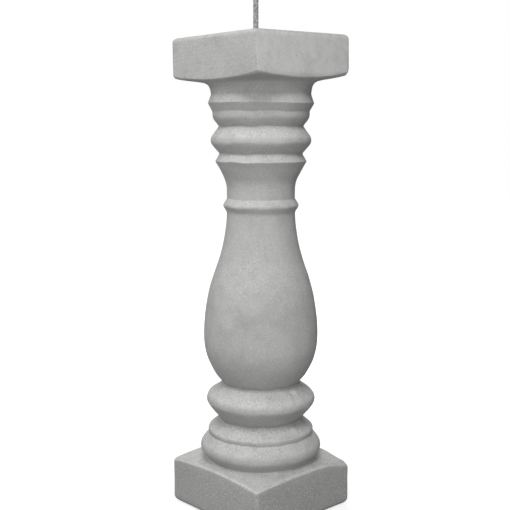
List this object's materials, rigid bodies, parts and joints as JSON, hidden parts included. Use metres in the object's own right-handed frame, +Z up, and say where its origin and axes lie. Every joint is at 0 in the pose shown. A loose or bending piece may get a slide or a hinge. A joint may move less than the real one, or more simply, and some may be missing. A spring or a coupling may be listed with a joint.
{
  "type": "baluster",
  "caption": "Turned cast-stone baluster with a square plinth, a pear-shaped body between rolled mouldings, a square cap and a steel starter bar for the handrail.",
  "frame": {"origin": "middle of the underside of the plinth, on the surface it stands on", "axes": "+Z up along the turned axis, X and Y square to the plinth's flat faces; the starter bar stands slightly off the axis towards -X -Y"},
  "size_m": [0.193, 0.193, 0.785],
  "materials": {
    "cement": "matte",
    "bar_steel": "matte"
  },
  "bodies": {
    "root": {"baluster": "cement", "reinforcing_bar": "bar_steel"}
  },
  "joints": []
}
